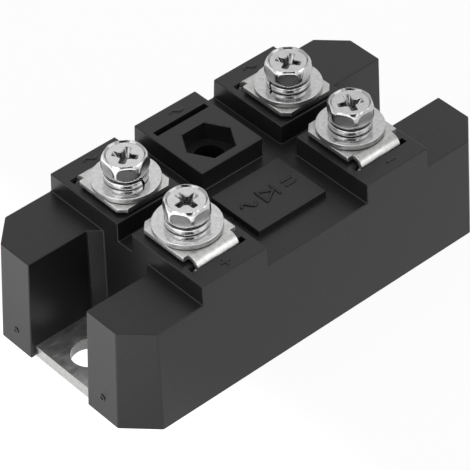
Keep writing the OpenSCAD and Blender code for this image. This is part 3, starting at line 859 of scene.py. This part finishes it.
def thread_mesh():
    """The threaded shank, whose ridge climbs once round for each pitch."""
    rings = []
    for i in range(THREAD_LEVELS + 1):
        z = -SCREW_L * i / THREAD_LEVELS
        core = THREAD_R - max(0.0, -z - (SCREW_L - SCREW_POINT))
        ring = []
        for k in range(THREAD_STEPS):
            turn = math.tau * k / THREAD_STEPS
            phase = (z / THREAD_PITCH - k / THREAD_STEPS) % 1.0
            r = core - THREAD_DEPTH * abs(2 * phase - 1)
            ring.append((r * math.cos(turn), r * math.sin(turn), z))
        rings.append(ring)
    return ring_shell("thread", rings)


def screw_tree():
    """Stands a head and a shank on each terminal, cuts the recess out of the head and gives the recess walls
    their painted shade.
    """
    tree, given, result = begin_build("screws_with_recess", [
        ("Head", "NodeSocketObject"), ("Recess", "NodeSocketObject"), ("Shank", "NodeSocketObject"),
        ("Seat", "NodeSocketFloat"), ("Finish", "NodeSocketMaterial"),
        ("Recess Painted Shade", "NodeSocketMaterial")])
    heads, shanks, recesses = (
        set_on_points(tree, given["Geometry"], given[label], given["Seat"], turn)
        for label, turn in (("Head", "head_turn"), ("Shank", "head_turn"), ("Recess", "cross_turn")))
    recesses = place(tree, "GeometryNodeSetMaterial",
                     {"Geometry": recesses, "Material": given["Recess Painted Shade"]}).outputs[0]
    cut = place(tree, "GeometryNodeMeshBoolean", {"Mesh 1": heads, "Mesh 2": recesses},
                operation="DIFFERENCE", solver="EXACT").outputs[0]
    whole = place(tree, "GeometryNodeJoinGeometry")
    for part in (cut, shanks):
        tree.links.new(part, whole.inputs[0])
    real = place(tree, "GeometryNodeRealizeInstances", {"Geometry": whole.outputs[0]}).outputs[0]
    in_recess = place(tree, "GeometryNodeMaterialSelection", {"Material": given["Recess Painted Shade"]}).outputs[0]
    outside = place(tree, "FunctionNodeBooleanMath", {0: in_recess}, operation="NOT").outputs[0]
    done = place(tree, "GeometryNodeSetMaterial",
                 {"Geometry": real, "Selection": outside, "Material": given["Finish"]})
    tree.links.new(done.outputs[0], result.inputs["Geometry"])
    return tree


screw_plating = metal("screw_plating", bump=0.0015, rougher="pressed", toned="tone",
                      Tint=(0.6, 0.6, 0.605, 1), Cloud_Size=0.6, Cloud_Depth=0.4, Grain_Scale=(3.0, 3.0, 3.0),
                      Roughness=0.15, Roughness_Spread=0.06)
# Painted shade: a darker copy of the plating for the wall of each sunken face, standing in for the shade and
# dark reflection there.
dish_wall_shade_plating = metal("dish_wall_shade_plating", bump=0.003, Tint=(0.34, 0.34, 0.34, 1), Cloud_Size=0.8,
                        Cloud_Depth=0.5, Grain_Scale=(1.0, 1.0, 4.0), Roughness=0.2, Roughness_Spread=0.12)
# Painted shade: the walls of each cross recess get a darker copy of the plating, for the shade inside it.
recess_shade_plating = metal("recess_shade_plating", bump=0.01, Tint=(0.3, 0.3, 0.3, 1), Cloud_Size=0.9, Cloud_Depth=0.5,
                       Grain_Scale=(3.0, 3.0, 1.5), Roughness=0.24, Roughness_Spread=0.15)
forms = [pattern(name, mesh) for name, mesh in (
    ("head_pattern", head_mesh()), ("recess_pattern", recess_mesh()), ("shank_pattern", thread_mesh()))]
screws = build(screw_tree(), terminal_places(), {
    "Head": forms[0], "Recess": forms[1], "Shank": forms[2], "Seat": HEAD_Z * MM, "Finish": screw_plating,
    "Recess Painted Shade": recess_shade_plating})
for form in forms:
    bpy.data.objects.remove(form)
screws.set_sharp_from_angle(angle=math.radians(SCREW_SHARP_FROM))
note_tone(screws)
note(screws, "pressed", [pressed_share(vertex.co) for vertex in screws.vertices])
dish_z, dish_foot_r = HEAD_Z + HEAD_H - DISH_DEPTH, DISH_R - DISH_DEPTH * DISH_SLOPE
# The wall of each sunken face gets the painted shade.
refinish(screws, dish_wall_shade_plating, lambda face: face.center.z > dish_z * MM and
         within(face.normal.z, DISH_WALL_NORMAL) and dish_foot_r < off_axis(face.center) < DISH_R)
# Painted shade in the crevice between the foot of each head and its spring washer.
refinish(screws, crevice_shade_plating, lambda face: 0 < face.center.z - HEAD_Z * MM < SEAT_H * MM and
         off_axis(face.center) > SPRING_R - SPRING_CUT - SEAT_IN)
show("screws", screws, screw_plating, "screw_steel", *["screw_" + terminal for terminal in PLACES])


# Raised marks
# Low ridges of the same moulding: the signs of the terminals beside each screw, on the label plate the sign
# for a rectifier between those for alternating and direct current, and the rings of three ejector pins.

LABEL_TOP = 21.4
MARK_Y = 17.2
TERMINAL_WAVE, LABEL_WAVE = (2.6, 0.9), (3.0, 1.5)
RING_R = 0.5
ARM_FACE = 39.87
CURVE_STEPS = 24


def ridge_tree():
    """Sweeps a flat oval along each path; the attribute "girth" of a point narrows it, for round ends."""
    tree, given, result = begin_build("raised_ridges", [
        ("Width", "NodeSocketFloat"), ("Height", "NodeSocketFloat"), ("Finish", "NodeSocketMaterial")])
    path = place(tree, "GeometryNodeMeshToCurve", {"Mesh": given["Geometry"]}).outputs[0]
    path = place(tree, "GeometryNodeSetCurveNormal", {"Curve": path}, mode="Z_UP").outputs[0]
    oval = place(tree, "GeometryNodeCurvePrimitiveCircle", {"Resolution": 16, "Radius": 1.0}).outputs[0]
    half = reckon(tree, "MULTIPLY", given["Width"], 0.5)
    size = place(tree, "ShaderNodeCombineXYZ", {"X": half, "Y": given["Height"], "Z": 1.0}).outputs[0]
    oval = place(tree, "GeometryNodeTransform", {"Geometry": oval, "Scale": size}).outputs[0]
    girth = place(tree, "GeometryNodeInputNamedAttribute", {"Name": "girth"}, data_type="FLOAT").outputs[0]
    swept = place(tree, "GeometryNodeCurveToMesh", {"Curve": path, "Profile Curve": oval, "Scale": girth,
                                                    "Fill Caps": True}).outputs[0]
    real = place(tree, "GeometryNodeRealizeInstances", {"Geometry": swept}).outputs[0]
    done = place(tree, "GeometryNodeSetMaterial", {"Geometry": real, "Material": given["Finish"]})
    tree.links.new(done.outputs[0], result.inputs["Geometry"])
    return tree


def even_path(points, closed, step=0.12):
    """The same path with points a short step apart."""
    out = []
    ends = points + points[:1] if closed else points
    for a, b in zip(ends, ends[1:]):
        count = max(1, round(math.dist(a, b) / step))
        out += [tuple(p + (q - p) * i / count for p, q in zip(a, b)) for i in range(count)]
    return out if closed else out + [points[-1]]


def ridges(name, paths, width, height, finish):
    """Raised ridges along paths; a path is its height, its points, and whether it closes on itself."""
    at, edges, girth = [], [], []
    for z, points, closed in paths:
        points = even_path(points, closed)
        first, along = len(at), [0.0]
        for a, b in zip(points, points[1:]):
            along.append(along[-1] + math.dist(a, b))
        for (x, y), done in zip(points, along):
            end = 1.0 if closed else min(1.0, (min(done, along[-1] - done) + 0.02) / (width / 2))
            girth.append(math.sqrt(1.0 - (1.0 - end) ** 2))
            at.append((x * MM, y * MM, z * MM))
        edges += [(i, i + 1) for i in range(first, len(at) - 1)]
        if closed:
            edges.append((len(at) - 1, first))
    lines = bpy.data.meshes.new(name)
    lines.from_pydata(at, edges, [])
    note(lines, "girth", girth)
    made = build(ridge_tree(), lines, {"Width": width * MM, "Height": height * MM, "Finish": finish})
    face_outward(made)
    made.shade_smooth()
    return made


def wave(x, y, length, height):
    """The sign for alternating current."""
    return [(x + length * (i / CURVE_STEPS - 0.5), y + height / 2 * math.sin(math.tau * i / CURVE_STEPS))
            for i in range(CURVE_STEPS + 1)]


def pin_ring(x, y):
    """The mark of an ejector pin."""
    turns = [math.tau * i / CURVE_STEPS for i in range(CURVE_STEPS)]
    return [(x + RING_R * math.cos(turn), y + RING_R * math.sin(turn)) for turn in turns]


terminal_signs = [
    (BLOCK_TOP, wave(-17.6, MARK_Y, *TERMINAL_WAVE), False),
    (BLOCK_TOP, wave(17.9, MARK_Y, *TERMINAL_WAVE), False),
    (BLOCK_TOP, wave(0.9, 16.9, *TERMINAL_WAVE), False),
    (BLOCK_TOP, [(-19.1, -16.8), (-17.1, -16.8)], False),
    (BLOCK_TOP, [(-18.1, -15.8), (-18.1, -17.8)], False),
    (BLOCK_TOP, [(17.3, -16.8), (19.4, -16.8)], False),
]
label_signs = [
    (LABEL_TOP, wave(-4.3, -7.0, *LABEL_WAVE), False),
    (LABEL_TOP, [(-1.5, -8.5), (-1.5, -5.5), (1.1, -7.0)], True),
    (LABEL_TOP, [(1.5, -8.5), (1.5, -5.5)], False),
    (LABEL_TOP, [(3.2, -7.6), (5.6, -7.6)], False), (LABEL_TOP, [(3.2, -6.4), (5.6, -6.4)], False),
]
arm_rings = [(0.0, pin_ring(4.2, -11.0), True), (0.0, pin_ring(3.7, 11.1), True)]
arm_marks = ridges("arm_marks", arm_rings, 0.3, 0.07, black)
arm_marks.transform(Matrix.Translation((-ARM_FACE * MM, 0, 0)) @ Matrix.Rotation(math.radians(-90), 4, "Y"))
show("arm_marks", arm_marks, black, "housing_plastic")
for name, paths, width, height in (
        ("terminal_marks", terminal_signs, 0.5, 0.2), ("label_marks", label_signs, 0.6, 0.28),
        ("ejector_mark", [(SHOULDER, pin_ring(-8.2, -6.8), True)], 0.3, 0.2)):
    show(name, ridges(name, paths, width, height, black), black, "housing_plastic")


# Stage
# A plain white floor and background, and wide soft lamps at the left, above, behind the camera and, weakly,
# at the right. Beyond the near end the floor gleams more in what the object mirrors, and a dark card behind
# the camera gives the metal its dark reflections. The camera stands far off and has a long lens.

FLOOR_HALF = 3.0
FLOOR_Z = -0.00002
FLOOR_WHITE = 0.93
GLEAM_FROM, GLEAM_TO, GLEAM = -0.01, -0.09, 2.1
CARD_HALF = 0.32
CARD_AWAY = 0.75
CARD_TOWARD = (-0.486, -0.5555, 0.673)
MIDDLE = (0, 0, 0.01)


def lamp(name, spot, size, power):
    """A soft lamp that is aimed at the middle of the module."""
    light = bpy.data.lights.new(name, "AREA")
    light.shape = "RECTANGLE"
    light.size, light.size_y = size
    light.energy = power
    holder = set_out(name, light)
    holder.location = spot
    holder.rotation_euler = (Vector(MIDDLE) - Vector(spot)).to_track_quat("-Z", "Y").to_euler()


def square(name, half, z, material):
    """A square sheet about the origin."""
    sheet = bpy.data.meshes.new(name)
    corners = [(x * half, y * half, z) for x, y in ((-1, -1), (1, -1), (1, 1), (-1, 1))]
    sheet.from_pydata(corners, [], [(0, 1, 2, 3)])
    sheet.materials.append(material)
    return sheet


def white_where_seen(tree, surface, share, strength=1.0):
    """Mixes white light into a surface for what the camera, metal and glass see of it."""
    ray = place(tree, "ShaderNodeLightPath").outputs
    seen = reckon(tree, "MAXIMUM", ray["Is Camera Ray"], ray["Is Glossy Ray"])
    seen = reckon(tree, "MAXIMUM", seen, ray["Is Transmission Ray"])
    white = place(tree, "ShaderNodeEmission", {"Color": (1, 1, 1, 1), "Strength": strength})
    parts = {0: reckon(tree, "MULTIPLY", seen, share), 1: surface, 2: white.outputs[0]}
    return place(tree, "ShaderNodeMixShader", parts).outputs[0]


paper, paper_tree, paper_surface = begin_material("white_paper")
paper_surface["Base Color"].default_value = (0.9, 0.9, 0.9, 1)
paper_surface["Roughness"].default_value = 0.9
paper_surface["Specular IOR Level"].default_value = 0.0
paper_at = place(paper_tree, "ShaderNodeTexCoord").outputs["Object"]
paper_x = place(paper_tree, "ShaderNodeSeparateXYZ", {0: paper_at}).outputs["X"]
gleam = remapped(paper_tree, paper_x, GLEAM_TO, GLEAM_FROM, GLEAM, 1.0, interpolation_type="SMOOTHSTEP")
paper_seen = white_where_seen(paper_tree, paper_tree.nodes["Principled BSDF"].outputs[0], FLOOR_WHITE, gleam)
paper_tree.links.new(paper_seen, paper_tree.nodes["Material Output"].inputs["Surface"])
set_out("floor", square("floor", FLOOR_HALF, FLOOR_Z, paper))

lamp("left_softbox", (-0.55, -0.1, 0.28), (0.5, 0.4), 0.9)
lamp("top_softbox", (-0.26, -0.28, 0.7), (0.46, 0.46), 1.8)
lamp("front_softbox", (-0.49, -0.56, 0.68), (1.1, 0.8), 3.6)
lamp("right_softbox", (0.33, -0.46, 0.38), (0.4, 0.26), 0.45)

card_paper, _, card_surface = begin_material("black_card")
card_surface["Base Color"].default_value = (0.02, 0.02, 0.02, 1)
card_surface["Roughness"].default_value = 0.9
card_mesh = square("dark_card", CARD_HALF, 0, card_paper)
toward_card = Vector(CARD_TOWARD).normalized()
facing = toward_card.to_track_quat("Z", "Y").to_matrix().to_4x4()
card_mesh.transform(Matrix.Translation(toward_card * CARD_AWAY) @ facing)
set_out("dark_card", card_mesh)

world = bpy.data.worlds.new("studio")
bpy.context.scene.world = world
world.use_nodes = True
sky = world.node_tree.nodes["Background"]
sky.inputs["Color"].default_value = (1, 1, 1, 1)
sky.inputs["Strength"].default_value = 0.6
sky_seen = white_where_seen(world.node_tree, sky.outputs[0], 1.0)
world.node_tree.links.new(sky_seen, world.node_tree.nodes["World Output"].inputs["Surface"])

lens = bpy.data.cameras.new("camera")
lens.sensor_width = 36.0
lens.lens = 220.6
lens.clip_start, lens.clip_end = 0.01, 20.0
camera = set_out("camera", lens)
camera.location = (-0.2380116, -0.2719521, 0.3296935)
camera.rotation_euler = [math.radians(turn) for turn in (48.29335, 0.99104, -41.91555)]
bpy.context.scene.camera = camera
bpy.context.scene.view_settings.view_transform = "Standard"
